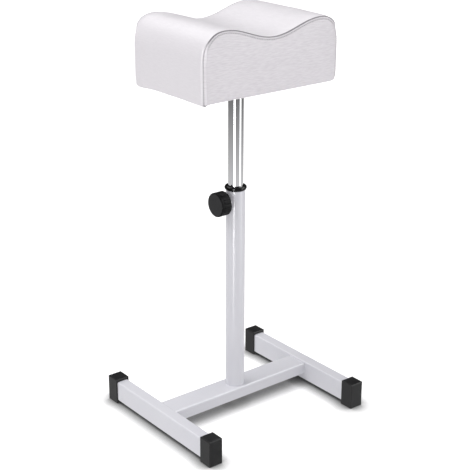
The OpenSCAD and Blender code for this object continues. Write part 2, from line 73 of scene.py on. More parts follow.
# %% [markdown]
# ## The camera
# The photograph was taken with a long lens from the front left, a little above the cushion. The
# camera is placed by angles round the object and a distance, because these are what a
# photographer would note down. The lens follows from the distance and from how large the object
# stands in the picture.

# %% Set up the camera
CAMERA_TURN = math.radians(-38.59)
CAMERA_TILT = math.radians(20.95)
CAMERA_ROLL = math.radians(0.24)
CAMERA_DISTANCE = 2.3406
CAMERA_AIM = Vector((0, 0, 0.3699))
PHOTO_PIXELS = 470
FOCAL_PIXELS = 1190.69
SENSOR_WIDTH = 36.0
SHIFT_PIXELS = -0.42
CLIP_NEAR, CLIP_FAR = 0.1, 60


def camera_axes(turn, tilt, roll):
    """The camera's right, up and backward directions."""
    level = math.cos(tilt)
    back = Vector((math.sin(turn) * level, -math.cos(turn) * level, math.sin(tilt)))
    right = Vector((math.cos(turn), math.sin(turn), 0))
    up = back.cross(right)
    c, s = math.cos(roll), math.sin(roll)
    return c * right + s * up, c * up - s * right, back


axes = camera_axes(CAMERA_TURN, CAMERA_TILT, CAMERA_ROLL)
camera = bpy.data.objects.new("camera", bpy.data.cameras.new("camera"))
camera.matrix_world = Matrix.LocRotScale(
    CAMERA_AIM + axes[2] * CAMERA_DISTANCE,
    Matrix(axes).transposed().to_quaternion(),
    None,
)
camera.data.sensor_width = SENSOR_WIDTH
camera.data.lens = FOCAL_PIXELS / PHOTO_PIXELS * SENSOR_WIDTH
camera.data.shift_x = SHIFT_PIXELS / PHOTO_PIXELS
camera.data.clip_start, camera.data.clip_end = CLIP_NEAR, CLIP_FAR
bpy.context.scene.collection.objects.link(camera)
bpy.context.scene.camera = camera
print("camera at", [round(c, 3) for c in camera.matrix_world.translation])
print("lens in mm:", round(camera.data.lens, 1))

# %% [markdown]
# ## The studio
# The object stands on white paper. A wide lamp high up, a little to the left and behind, makes
# the top of the cushion bright. A weaker one from the front right keeps its front from going
# grey, and the even light of the room fills the rest. Polished metal shows what stands around it,
# so the chrome gets its stripes from tall cards, as in a real studio. Two softboxes above the
# cards put a gloss on the cushion's humps and on the edges of the tubes. Cards and softboxes are
# seen in reflections alone.


# %% Colours are written as in a picture editor
def colour(text):
    """A colour such as "E6E2E6" as linear values."""
    shares = [int(text[i : i + 2], 16) / 255 for i in (0, 2, 4)]
    return [c / 12.92 if c <= 0.04045 else ((c + 0.055) / 1.055) ** 2.4 for c in shares]


# %% How nodes are placed and wired
def bare_tree(owner):
    """Empties the node tree of a material or a world, and gives it back."""
    owner.use_nodes = True
    owner.node_tree.nodes.clear()
    return owner.node_tree


def add(tree, kind, values=(), **settings):
    """Adds a shader node with its settings, and with values for its inputs."""
    node = tree.nodes.new("ShaderNode" + kind)
    for label, setting in settings.items():
        setattr(node, label, setting)
    for label, value in dict(values).items():
        node.inputs[label].default_value = value
    return node


def wire(tree, *pairs):
    """Joins an output to an input for each pair."""
    for output, socket in pairs:
        tree.links.new(output, socket)


# %% The room's light
ROOM_LEVEL = 0.70
ROOM_TINT = (1.0, 0.99, 1.0, 1)
PURE_WHITE = (1, 1, 1, 1)
world = bpy.data.worlds.new("room")
bpy.context.scene.world = world
tree = bare_tree(world)
output = add(tree, "OutputWorld")
fill_light = add(tree, "Background", {"Color": ROOM_TINT, "Strength": ROOM_LEVEL})
white = add(tree, "Background", {"Color": PURE_WHITE, "Strength": 1.0})
rays = add(tree, "LightPath")
seen = add(tree, "Math", operation="MAXIMUM")
seen_too = add(tree, "Math", operation="MAXIMUM")
mix = add(tree, "MixShader")
wire(
    tree,
    (rays.outputs["Is Camera Ray"], seen.inputs[0]),
    (rays.outputs["Is Glossy Ray"], seen.inputs[1]),
    (seen.outputs[0], seen_too.inputs[0]),
    (rays.outputs["Is Transmission Ray"], seen_too.inputs[1]),
    (seen_too.outputs[0], mix.inputs["Fac"]),
    (fill_light.outputs[0], mix.inputs[1]),
    (white.outputs[0], mix.inputs[2]),
    (mix.outputs[0], output.inputs["Surface"]),
)
print("room level:", ROOM_LEVEL)


# %% The lamps
def wide_lamp(name, origin, energy, angle):
    """A far lamp that shines from a direction. A wide angle gives soft shadows."""
    lamp = bpy.data.objects.new(name, bpy.data.lights.new(name, "SUN"))
    lamp.data.energy = energy
    lamp.data.angle = math.radians(angle)
    lamp.matrix_world = Vector(origin).to_track_quat("Z", "Y").to_matrix().to_4x4()
    bpy.context.scene.collection.objects.link(lamp)
    return lamp


wide_lamp("key_lamp", origin=(-0.34, 0.27, 0.90), energy=1.25, angle=50)
wide_lamp("side_lamp", origin=(0.45, -0.80, 0.35), energy=0.30, angle=60)


# %% A mesh made by bmesh operators becomes an object
def new_object(name, bm):
    """Turns a bmesh into an object at the origin, with its faces pointing outwards."""
    mesh = bpy.data.meshes.new(name)
    bm.to_mesh(mesh)
    bm.free()
    made = bpy.data.objects.new(name, mesh)
    bpy.context.scene.collection.objects.link(made)
    return made


# %% [markdown]
# The floor is white paper. For the camera its colour is set by how open each spot is to the room,
# which an ambient occlusion node measures, so that the open floor melts into the background while
# the close shadows under the tubes and caps stay. The node looks a little to the right, because
# the shadows lie to the left of the tubes. Two fifths of the paper's white are its own, so that
# the lamps' wide shadows stay faint. Every other ray sees plain white paper, which throws its
# light back onto the object.

# %% The floor
FLOOR_REACH = 30
bm = bmesh.new()
bmesh.ops.create_grid(bm, x_segments=1, y_segments=1, size=FLOOR_REACH)
floor = new_object("floor", bm)
floor.visible_glossy = False
print("floor half width in m:", FLOOR_REACH)

# %% The floor's paper
SHADOW_REACH = 0.031
SHADOW_POWER = 1.8
OPEN_FLOOR = 1.45
SHADOW_LEAN = (0.10, 0.0, 0.995)
OWN_WHITE = 0.42
PAPER_WHITE = 0.86
paint = bpy.data.materials.new("floor_paper")
tree = bare_tree(paint)
output = add(tree, "OutputMaterial")
paper = add(tree, "BsdfDiffuse", {"Color": (PAPER_WHITE, PAPER_WHITE, PAPER_WHITE, 1)})
seen_paper = add(tree, "BsdfDiffuse")
open_sky = add(tree, "AmbientOcclusion", {"Distance": SHADOW_REACH}, samples=16)
lean = add(tree, "CombineXYZ", enumerate(SHADOW_LEAN))
deepen = add(tree, "Math", {1: SHADOW_POWER}, operation="POWER")
lift = add(tree, "Math", {1: OPEN_FLOOR}, operation="MULTIPLY")
glow = add(tree, "Emission")
blend = add(tree, "MixShader", {"Fac": OWN_WHITE})
rays = add(tree, "LightPath")
choose = add(tree, "MixShader")
wire(
    tree,
    (lean.outputs[0], open_sky.inputs["Normal"]),
    (open_sky.outputs["AO"], deepen.inputs[0]),
    (deepen.outputs[0], glow.inputs["Strength"]),
    (deepen.outputs[0], lift.inputs[0]),
    (lift.outputs[0], seen_paper.inputs["Color"]),
    (seen_paper.outputs[0], blend.inputs[1]),
    (glow.outputs[0], blend.inputs[2]),
    (rays.outputs["Is Camera Ray"], choose.inputs["Fac"]),
    (paper.outputs[0], choose.inputs[1]),
    (blend.outputs[0], choose.inputs[2]),
    (choose.outputs[0], output.inputs["Surface"]),
)
floor.data.materials.append(paint)
print("floor dressed in", paint.name)

# %% How a card is made
CARD_RADIUS = 3.0
CARD_LOW, CARD_HIGH = -4.0, 2.5
CARD_STEP = 6


def card(name, first, last, greys, strength=1.0, low=CARD_LOW, high=CARD_HIGH):
    """A curved card between two angles from the camera. Its greys are (height, colour)."""
    bm = bmesh.new()
    across = []
    steps = max(1, round((last - first) / CARD_STEP))
    for i in range(steps + 1):
        turn = CAMERA_TURN + math.radians(first + (last - first) * i / steps)
        spot = CARD_RADIUS * math.sin(turn), -CARD_RADIUS * math.cos(turn), low
        across.append(bm.verts.new(spot))
    edges = [bm.edges.new(pair) for pair in zip(across, across[1:])]
    top = bmesh.ops.extrude_edge_only(bm, edges=edges)["geom"]
    raised = [v for v in top if isinstance(v, bmesh.types.BMVert)]
    bmesh.ops.translate(bm, verts=raised, vec=(0, 0, high - low))
    made = new_object(name, bm)
    made.visible_camera = made.visible_diffuse = made.visible_shadow = False
    made.visible_transmission = False
    finish = bpy.data.materials.new(name)
    tree = bare_tree(finish)
    output = add(tree, "OutputMaterial")
    glow = add(tree, "Emission", {"Strength": strength})
    place = add(tree, "TexCoord")
    split = add(tree, "SeparateXYZ")
    height = add(tree, "MapRange", {"From Min": low, "From Max": high})
    ramp = add(tree, "ValToRGB")
    stops = ramp.color_ramp.elements
    while len(stops) < len(greys):
        stops.new(0.5)
    for stop, (level, _) in zip(stops, greys):
        stop.position = (level - low) / (high - low)
    for stop, (_, grey) in zip(stops, greys):
        stop.color = (*colour(grey), 1)
    wire(
        tree,
        (place.outputs["Object"], split.inputs[0]),
        (split.outputs["Z"], height.inputs["Value"]),
        (height.outputs["Result"], ramp.inputs["Fac"]),
        (ramp.outputs["Color"], glow.inputs["Color"]),
        (glow.outputs[0], output.inputs["Surface"]),
    )
    made.data.materials.append(finish)


# %% Grey cards, bright strips and softboxes
GREYS = [(-0.52, "E0E0E0"), (-0.09, "7C7C7C"), (0.7, "6C6C6C"), (1.1, "404040")]
BEHIND = GREYS[:2] + [(0.7, "9C9C9C"), (1.0, "282828")]
STRIP = [(-1.25, "5A5A5A"), (-0.75, "FFFFFF")]
PLAIN = [(2.6, "FFFFFF")]
RIGHT_BOX_LOW, RIGHT_BOX_HIGH = 1.3, 4.8
BACK_BOX_LOW, BACK_BOX_HIGH = 2.6, 4.4
card("card_middle", -10.5, 60, GREYS)
card("card_right", 82, 130, GREYS, high=RIGHT_BOX_LOW)
card("card_behind", 130, 230, BEHIND)
card("card_left", 230, 333.5, GREYS)
card("strip_left", -26.5, -10.5, STRIP, strength=12.0)
card("strip_right", 60, 82, STRIP, strength=3.0)
card("softbox_behind", 195, 250, PLAIN, strength=2.0, low=BACK_BOX_LOW, high=BACK_BOX_HIGH)
card("softbox_right", 82, 115, PLAIN, strength=5.0, low=RIGHT_BOX_LOW, high=RIGHT_BOX_HIGH)
print("cards at", CARD_RADIUS, "m")

# %% [markdown]
# ## Shared effects
# Real surfaces are never quite even. Three effects serve several finishes: a slow unevenness for
# polish and handling marks, the fine bumps of a mould or of baked paint, and the pebbled grain of
# leatherette. Each is a node group that is built once, and every finish sets its own scale.


# %% How a node group is started
def new_group(name, inputs, outputs):
    """An empty shader group with named number inputs and outputs, and its two end nodes."""
    group = bpy.data.node_groups.new(name, "ShaderNodeTree")
    group.interface.new_socket("Vector", in_out="INPUT", socket_type="NodeSocketVector")
    for label, value in inputs.items():
        socket = group.interface.new_socket(label, in_out="INPUT", socket_type="NodeSocketFloat")
        socket.default_value = value
    for label in outputs:
        group.interface.new_socket(label, in_out="OUTPUT", socket_type="NodeSocketFloat")
    print("effect:", name)
    return group, group.nodes.new("NodeGroupInput"), group.nodes.new("NodeGroupOutput")


# %% Slow unevenness
uneven, start, end = new_group("slow_unevenness", {"Scale": 8.0}, ["Mask"])
cloud = add(uneven, "TexNoise", {"Detail": 4, "Roughness": 0.6})
wire(
    uneven,
    (start.outputs["Vector"], cloud.inputs["Vector"]),
    (start.outputs["Scale"], cloud.inputs["Scale"]),
    (cloud.outputs["Fac"], end.inputs["Mask"]),
)

# %% Fine bumps of a mould or of baked paint
stipple, start, end = new_group("fine_stipple", {"Scale": 900.0, "Sharpness": 0.5}, ["Height"])
fine = add(stipple, "TexNoise", {"Detail": 2})
wire(
    stipple,
    (start.outputs["Vector"], fine.inputs["Vector"]),
    (start.outputs["Scale"], fine.inputs["Scale"]),
    (start.outputs["Sharpness"], fine.inputs["Roughness"]),
    (fine.outputs["Fac"], end.inputs["Height"]),
)

# %% Pebbled grain of leatherette, with faint ribs from its backing
WARP_SCALE, WARP_REACH = 260, 0.0009
PEBBLE_EDGE = 0.22
RIB_STRETCH = (0.12, 0.12, 1.0)
grain, start, end = new_group(
    "leatherette_grain", {"Scale": 750.0, "Rib Scale": 330.0}, ["Height", "Ribs"]
)
warp = add(grain, "TexNoise", {"Scale": WARP_SCALE, "Detail": 1})
shift = add(grain, "VectorMath", {1: (WARP_REACH,) * 3}, operation="MULTIPLY_ADD")
pebble = add(grain, "TexVoronoi", feature="DISTANCE_TO_EDGE")
edge = add(grain, "MapRange", {"From Max": PEBBLE_EDGE}, interpolation_type="SMOOTHSTEP")
stretch = add(grain, "Mapping", {"Scale": RIB_STRETCH}, vector_type="POINT")
ribs = add(grain, "TexNoise", {"Detail": 1.5})
wire(
    grain,
    (start.outputs["Vector"], warp.inputs["Vector"]),
    (warp.outputs["Color"], shift.inputs[0]),
    (start.outputs["Vector"], shift.inputs[2]),
    (shift.outputs[0], pebble.inputs["Vector"]),
    (start.outputs["Scale"], pebble.inputs["Scale"]),
    (pebble.outputs["Distance"], edge.inputs["Value"]),
    (edge.outputs["Result"], end.inputs["Height"]),
    (start.outputs["Vector"], stretch.inputs["Vector"]),
    (stretch.outputs[0], ribs.inputs["Vector"]),
    (start.outputs["Rib Scale"], ribs.inputs["Scale"]),
    (ribs.outputs["Fac"], end.inputs["Ribs"]),
)


# %% How a finish is started, and how its parts are joined
MASK_LOW, MASK_HIGH = 0.3, 0.7
COLOUR_UNDER, COLOUR_OVER, COLOUR_OUT = 6, 7, 2


class Finish:
    """A material with one Principled shader, and short calls that add to it."""

    def __init__(self, name, base, rough, metallic=0.0, **fixed):
        self.material = bpy.data.materials.new(name)
        self.material.use_nodes = True
        self.tree = self.material.node_tree
        self.shader = self.tree.nodes["Principled BSDF"]
        self.place = add(self.tree, "TexCoord")
        self.shader.inputs["Base Color"].default_value = (*colour(base), 1)
        self.shader.inputs["Roughness"].default_value = rough
        self.shader.inputs["Metallic"].default_value = metallic
        for label, value in fixed.items():
            self.shader.inputs[label.replace("_", " ")].default_value = value

    def group(self, group, **values):
        """Places a shared effect with its own values, and gives back its outputs."""
        node = add(self.tree, "Group", node_tree=group)
        self.tree.links.new(self.place.outputs["Object"], node.inputs["Vector"])
        for label, value in values.items():
            node.inputs[label.replace("_", " ")].default_value = value
        return node.outputs

    def spread(self, mask, low, high):
        """Maps a mask to the values between low and high."""
        ends = {"From Min": MASK_LOW, "From Max": MASK_HIGH, "To Min": low, "To Max": high}
        node = add(self.tree, "MapRange", ends)
        self.tree.links.new(mask, node.inputs["Value"])
        return node.outputs["Result"]

    def tint(self, mask, under, other):
        """Mixes another colour over a colour, or over another tint, by a mask."""
        node = add(self.tree, "Mix", {COLOUR_OVER: (*colour(other), 1)}, data_type="RGBA")
        if isinstance(under, str):
            node.inputs[COLOUR_UNDER].default_value = (*colour(under), 1)
        else:
            self.tree.links.new(under, node.inputs[COLOUR_UNDER])
        self.tree.links.new(mask, node.inputs["Factor"])
        return node.outputs[COLOUR_OUT]

    def bump(self, height, depth, under=None):
        """A bump of a real depth in metres, over another one if given."""
        node = add(self.tree, "Bump", {"Distance": depth, "Strength": 1.0})
        self.tree.links.new(height, node.inputs["Height"])
        if under:
            self.tree.links.new(under, node.inputs["Normal"])
        return node.outputs["Normal"]

    def join(self, **sources):
        """Feeds the shader's sockets, and gives back the material."""
        for label, source in sources.items():
            self.tree.links.new(source, self.shader.inputs[label.replace("_", " ")])
        return self.material

    def wear(self, scale, low, high, *tints):
        """Lets the gloss, and the colour where two tints are given, change slowly."""
        mask = self.group(uneven, Scale=scale)["Mask"]
        self.join(Roughness=self.spread(mask, low, high))
        if tints:
            self.join(Base_Color=self.tint(mask, *tints))

    def mould(self, scale, sharpness, depth):
        """Covers the surface with fine bumps."""
        bumps = self.group(stipple, Scale=scale, Sharpness=sharpness)["Height"]
        self.join(Normal=self.bump(bumps, depth))


def dress(finish, slot, *names):
    """Gives a finish to CAD nodes. The slot argument is not used."""
    for name in names:
        for place in nodes[name].material_slots:
            place.material = finish
    print(finish.name, "on", ", ".join(names))


# %% [markdown]
# ## The painted frame
# Legs, crossbar and column are steel tube with a baked powder coat: light grey with a touch of
# lavender, a satin gloss, and the very fine ripple that powder leaves when it melts. A clear coat
# over the colour gives the sharp thin light on the tube's edges, and the ripple keeps it from
# looking like plastic.

# %% Powder coat
coat = Finish("powder_coat", "DCDCE2", 0.5, IOR=1.48, Coat_Weight=0.8, Coat_Roughness=0.08)
coat.wear(14.0, 0.46, 0.54, "DADAE1", "DFDFE4")
coat.mould(420.0, 0.45, 0.00004)
dress(
    coat.material,
    "frame_paint",
    "leg_tube_left",
    "leg_tube_right",
    "crossbar_tube",
    "column_tube",
    "clamp_boss",
    "post_socket",
    "mounting_plate",
)

# %% [markdown]
# ## Black plastic
# Four pieces are moulded in black: the end caps on the legs, the collar, the knob and its cover
# disc. They differ in gloss. The caps and the disc are matt with a fine mould grain, the knob is
# satin, and the collar is polished by the mould and mirrors the chrome.

# %% End caps
cap = Finish("cap_plastic", "121214", 0.35, Specular_IOR_Level=0.38)
cap.wear(45.0, 0.28, 0.42, "0F0F11", "161618")
cap.mould(1500.0, 0.7, 0.00006)
dress(
    cap.material,
    "foot_plastic",
    "foot_cap_front_left",
    "foot_cap_back_left",
    "foot_cap_front_right",
    "foot_cap_back_right",
)

# %% Collar
ring = Finish("collar_plastic", "0E0E10", 0.14, Specular_IOR_Level=0.22)
ring.wear(60.0, 0.10, 0.20)
dress(ring.material, "collar_plastic", "collar_bush")

# %% Knob
grip = Finish("knob_plastic", "131314", 0.36, Specular_IOR_Level=0.08)
grip.wear(90.0, 0.28, 0.44, "101011", "18181A")
grip.mould(1300.0, 0.6, 0.00004)
dress(grip.material, "knob_plastic", "knob_head")

# %% Cover disc of the knob
face = Finish("disc_plastic", "252527", 0.48, Specular_IOR_Level=0.3)
face.wear(70.0, 0.42, 0.55, "222224", "2A2A2C")
face.mould(1700.0, 0.7, 0.00005)
dress(face.material, "knob_disc_plastic", "knob_cover_disc")

# %% [markdown]
# ## Bare metals
# The post is chromed and polished. The fasteners are zinc plated, the bolt under the crossbar is
# blackened, and the pad of the clamp is brass. The chrome, the zinc and the brass have full
# metallic shading, the blackened bolt and washer are shaded as a dark skin that is not metallic,
# and all differ in colour and polish.

# %% Chrome
shine = Finish("post_chrome", "DADADC", 0.05, metallic=1.0)
shine.wear(30.0, 0.02, 0.045)
dress(shine.material, "post_chrome", "post_tube")

# %% Zinc plate
plated = Finish("zinc_plate", "C2C4C8", 0.34, metallic=1.0)
plated.wear(240.0, 0.26, 0.44, "BDBFC4", "CCCED0")
dress(
    plated.material,
    "zinc_steel",
    "crossbar_spacer",
    "column_foot_plug",
    "clamp_screw",
    "cross_bolt",
    "cross_nut",
    "plate_screws",
)

# %% Blackened steel
blackened = Finish("black_steel", "1A1A1B", 0.42, Specular_IOR_Level=0.5)
blackened.wear(300.0, 0.32, 0.52, "161617", "232324")
dress(blackened.material, "black_steel", "base_bolt", "base_washer")

# %% Brass
turned = Finish("pad_brass", "D0A45A", 0.3, metallic=1.0)
turned.wear(200.0, 0.22, 0.4, "C79A52", "D8B067")
dress(turned.material, "pad_brass", "pressure_pad")

# %% Staple wire
drawn = Finish("staple_wire", "B8B9BC", 0.3, metallic=1.0)
drawn.wear(500.0, 0.22, 0.42)
dress(drawn.material, "staple_steel", "cloth_staples")

# %% [markdown]
# ## Inside pieces
# The plug that guides the post is natural nylon, and the board in the cushion is plywood. They
# are out of sight in the photograph, but the knob loosens and the post turns, so they are
# finished as well. The board's grain runs along its length, and its edge shows the plies as thin
# stripes.

# %% Nylon
waxy = Finish("glide_nylon", "E4E2D6", 0.42, Subsurface_Weight=0.1)
waxy.wear(50.0, 0.36, 0.5)
waxy.mould(600.0, 0.4, 0.00004)
dress(waxy.material, "glide_plastic", "glide_plug")

# %% Plywood
PLY_STRETCH = (4.0, 60.0, 600.0)
board = Finish("birch_ply", "C9A678", 0.6)
stretch = add(board.tree, "Mapping", {"Scale": PLY_STRETCH})
figure = add(board.tree, "TexNoise", {"Scale": 1.0, "Detail": 5})
wire(
    board.tree,
    (board.place.outputs["Object"], stretch.inputs["Vector"]),
    (stretch.outputs[0], figure.inputs["Vector"]),
)
birch_ply = board.join(
    Base_Color=board.tint(figure.outputs["Fac"], "B98F5E", "DABB8F"),
    Roughness=board.spread(figure.outputs["Fac"], 0.5, 0.7),
    Normal=board.bump(figure.outputs["Fac"], 0.0001),
)
dress(birch_ply, "board_plywood", "seat_board")
print("finishes:", len(bpy.data.materials))

# %% [markdown]
# ## The cushion's outline
# Seen from the front, the cushion is a wave: two humps, a saddle between them, and round
# shoulders down to the board. The outline is written as the seam that shows in the photograph,
# and split into equal steps. Every other line of the cover is this line moved in or out along its
# normals.

# %% Sizes of the cushion
HALF_WIDTH = 0.1575
HALF_DEPTH = 0.1087
CREST = 0.8039
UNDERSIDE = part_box("cover_wrap_panel")[0].z
SADDLE = 0.0235
HUMP_OFFSET = 0.110
SHOULDER = 0.053
FULLNESS = 0.87
HEM_DRAW = 0.0005
WALL_POINTS, SADDLE_POINTS = 60, 100
print("width of the outline in mm:", round(2 * HALF_WIDTH / MM, 1))


# %% The seam line
def seam_curve():
    """Many points of the seam from its lower left end over the humps to the right, as (x, z)."""
    spring, reach = CREST - SHOULDER, HALF_WIDTH - HUMP_OFFSET
    half = []
    for i in range(WALL_POINTS):
        share = i / WALL_POINTS
        level = UNDERSIDE + (spring - UNDERSIDE) * share
        half.append((HALF_WIDTH - HEM_DRAW * (1 - share) ** 2, level))
    for degrees in range(91):
        turn = math.radians(degrees)
        half.append((
            HUMP_OFFSET + reach * max(math.cos(turn), 0) ** FULLNESS,
            spring + SHOULDER * math.sin(turn) ** FULLNESS,
        ))
    saddle = []
    for i in range(1, 2 * SADDLE_POINTS):
        x = HUMP_OFFSET * (i / SADDLE_POINTS - 1)
        saddle.append((x, CREST - SADDLE * (1 + math.cos(math.pi * x / HUMP_OFFSET)) / 2))
    return [(-x, z) for x, z in half] + saddle + half[::-1]


# %% The same line in equal steps
def equal_steps(points, count):
    """Points at equal distances along a line of points."""
    places = [0.0]
    for a, b in zip(points, points[1:]):
        places.append(places[-1] + math.dist(a, b))
    made, k = [], 0
    for i in range(count + 1):
        want = places[-1] * i / count
        while k < len(points) - 2 and places[k + 1] < want:
            k += 1
        share = (want - places[k]) / (places[k + 1] - places[k])
        made.append(tuple(a + (b - a) * share for a, b in zip(points[k], points[k + 1])))
    return made


SIDE_STEPS = 18
TOP_STEPS = 62
STATIONS = TOP_STEPS + 2 * SIDE_STEPS
seam = equal_steps(seam_curve(), STATIONS)
seam_length = sum(math.dist(a, b) for a, b in zip(seam, seam[1:]))
print("seam length in mm:", round(seam_length / MM), "stations:", STATIONS)


# %% Lines beside the seam
def outward(i):
    """The seam line's normal at a station, as (x, z). It is level at the two lower ends."""
    a, b = seam[max(i - 1, 0)], seam[min(i + 1, STATIONS)]
    if i in (0, STATIONS):
        return (-1.0, 0.0) if i == 0 else (1.0, 0.0)
    run = math.dist(a, b)
    return (-(b[1] - a[1]) / run, (b[0] - a[0]) / run)


def beside(i, distance):
    """A point at a distance outside the seam line, or inside for a distance below 0, as (x, z)."""
    normal = outward(i)
    return seam[i][0] + normal[0] * distance, seam[i][1] + normal[1] * distance


# %% [markdown]
# ## The cover, as sewn
# The cover has three panels: one that runs up the left side, over the humps and down the right
# side, and a wave-shaped panel at each end. They are built as one closed bag with shared edges,
# as the seams would join them. An end panel starts as a grid that is bent to the wave, its edge
# is extruded out to the seam, and the seam is extruded along the cushion. The hems turn under the
# board.

# %% What the bag remembers of each point and face
STITCH_LINE = 0.0052
CORE_INSET = 0.0104
CORE_SPREAD = 0.05
PANEL_PROUD, PANEL_BULGE = 0.0008, 0.002
INNER, HEMMED = -1, -2
bm = bmesh.new()
station = bm.verts.layers.int.new("station")
from_seam = bm.verts.layers.float.new("from_seam")
rise = bm.verts.layers.float.new("rise")
panel = bm.faces.layers.int.new("panel")
WRAP, FRONT, BACK = 1, 2, 3
print("kept with the points:", bm.verts.layers.int.keys() + bm.verts.layers.float.keys())


# %% A grid bent to the wave
def across(a, b, share):
    """The point at a share of the way between two points."""
    return tuple(p + (q - p) * share for p, q in zip(a, b))


def bent(u, v):
    """Where a point of the unit square lands in the end panel, whose rim follows the seam."""
    core = [beside(i, -CORE_INSET) for i in range(STATIONS + 1)]
    up, along = round(v * SIDE_STEPS), round(u * TOP_STEPS)
    left, right = core[up], core[STATIONS - up]
    top, foot = core[SIDE_STEPS + along], across(core[0], core[-1], u)
    shoulders = across(core[SIDE_STEPS], core[STATIONS - SIDE_STEPS], u)
    corners = across(foot, shoulders, v)
    sides, ends = across(left, right, u), across(foot, top, v)
    return sides[0] + ends[0] - corners[0], sides[1] + ends[1] - corners[1]


bmesh.ops.create_grid(bm, x_segments=TOP_STEPS, y_segments=SIDE_STEPS, size=1)
for vert in bm.verts:
    u, v = (vert.co.x + 1) / 2, (vert.co.y + 1) / 2
    x, z = bent(u, v)
    bulge = 4 * u * (1 - u) * 4 * v * (1 - v)
    vert.co = (x, -HALF_DEPTH - PANEL_PROUD - PANEL_BULGE * bulge, z)
    vert[from_seam] = CORE_INSET + CORE_SPREAD * min(u, 1 - u, 1 - v)
    vert[station] = INNER
    if round(u * TOP_STEPS) == 0:
        vert[station] = round(v * SIDE_STEPS)
    elif round(u * TOP_STEPS) == TOP_STEPS:
        vert[station] = STATIONS - round(v * SIDE_STEPS)
    elif round(v * SIDE_STEPS) == SIDE_STEPS:
        vert[station] = SIDE_STEPS + round(u * TOP_STEPS)
    if vert[station] >= 0:
        vert[rise] = outward(vert[station])[1]
print("end panel:", len(bm.verts), "points")


# %% Rows extruded out to the seam and along the cushion
ROUND_REACH, ROUND_HEIGHT, CROWN_HEIGHT = 0.018, 0.0020, 0.0008
FOLD_PROUD = 0.0006
HALF_ROWS = 15
MERGE_DISTANCE = 0.00005


def next_row(edges, y, distance, gap):
    """Extrudes edges to a row at a depth, a distance outside the seam and a gap from a seam."""
    made = bmesh.ops.extrude_edge_only(bm, edges=edges)["geom"]
    fresh = {e for e in made if isinstance(e, bmesh.types.BMVert)}
    for vert in fresh:
        x, z = beside(vert[station], distance)
        vert.co = (x, y, z)
        vert[from_seam] = gap
    return [e for e in made if isinstance(e, bmesh.types.BMEdge) and set(e.verts) <= fresh]


def round_over(distance):
    """How far the cover lies outside the seam line at a distance from the seam."""
    near = max(1 - distance / ROUND_REACH, 0)
    crown = math.sin(math.pi * min(distance / HALF_DEPTH, 1) / 2)
    return ROUND_HEIGHT * (1 - near**2) + CROWN_HEIGHT * crown


edges = [e for e in bm.edges if e.is_boundary and all(v[station] >= 0 for v in e.verts)]
edges = next_row(edges, -HALF_DEPTH - FOLD_PROUD, -STITCH_LINE, STITCH_LINE)
edges = next_row(edges, -HALF_DEPTH, 0, 0)
for face in bm.faces:
    face[panel] = FRONT
end_faces = list(bm.faces)
gaps = [STITCH_LINE, CORE_INSET]
for i in range(1, HALF_ROWS + 1):
    gaps.append(CORE_INSET + (HALF_DEPTH - CORE_INSET) * i / HALF_ROWS)
gaps = gaps + [HALF_DEPTH * 2 - g for g in gaps[-2::-1]] + [2 * HALF_DEPTH]
for gap in gaps:
    near = min(gap, 2 * HALF_DEPTH - gap)
    edges = next_row(edges, -HALF_DEPTH + gap, round_over(near), near)
for face in set(bm.faces) - set(end_faces):
    face[panel] = WRAP
print("rows along the cushion:", len(gaps) + 1)

# %% The back panel is a mirrored copy of the front one
twin = bmesh.ops.duplicate(bm, geom=end_faces)["geom"]
twin_verts = [g for g in twin if isinstance(g, bmesh.types.BMVert)]
twin_faces = [g for g in twin if isinstance(g, bmesh.types.BMFace)]
for vert in twin_verts:
    vert.co.y = -vert.co.y
for face in twin_faces:
    face[panel] = BACK
bmesh.ops.remove_doubles(bm, verts=bm.verts, dist=MERGE_DISTANCE)
print("with both end panels:", len(bm.verts), "points")

# %% The hems turn under the board
HEM = 0.024
HEM_ROWS = (0.0, 0.003, 0.010, HEM)
rim = [e for e in bm.edges if e.is_boundary]
for share in HEM_ROWS:
    hemmed = bmesh.ops.extrude_edge_only(bm, edges=rim)["geom"]
    fresh = {g for g in hemmed if isinstance(g, bmesh.types.BMVert)}
    limit = HALF_WIDTH - HEM_DRAW - share, HALF_DEPTH - share
    for vert in fresh:
        vert.co.x = min(max(vert.co.x, -limit[0]), limit[0])
        vert.co.y = min(max(vert.co.y, -limit[1]), limit[1])
        vert.co.z = UNDERSIDE
        vert[station] = HEMMED
    for face in {f for e in rim for f in e.link_faces if set(f.verts) & fresh}:
        middle = face.calc_center_median()
        sideways = abs(middle.x) / (HALF_WIDTH - HEM_DRAW) > abs(middle.y) / HALF_DEPTH
        face[panel] = WRAP if sideways else (FRONT if middle.y < 0 else BACK)
    rim = [g for g in hemmed if isinstance(g, bmesh.types.BMEdge) and set(g.verts) <= fresh]
bmesh.ops.recalc_face_normals(bm, faces=bm.faces)
highest = max(bm.faces, key=lambda f: f.calc_center_median().z)
if highest.normal.z < 0:
    bmesh.ops.reverse_faces(bm, faces=bm.faces)
print("bag:", len(bm.verts), "points,", len(bm.faces), "faces")
bag = new_object("bag", bm)

# %% [markdown]
# ## Stuffing the cover
# Foam presses the cover out between its seams. Blender's cloth does the same: the bag is inflated
# a little, with its hems held fast where the staples are and its seams held more gently. Each
# point may move by a few millimetres only, and least in the saddle, where the real cover is
# pulled down onto the foam.

# %% How the bag is inflated
PRESSURE = 4.0
FRAMES = 20
HEM_HOLD, SEAM_HOLD = 1.0, 0.8


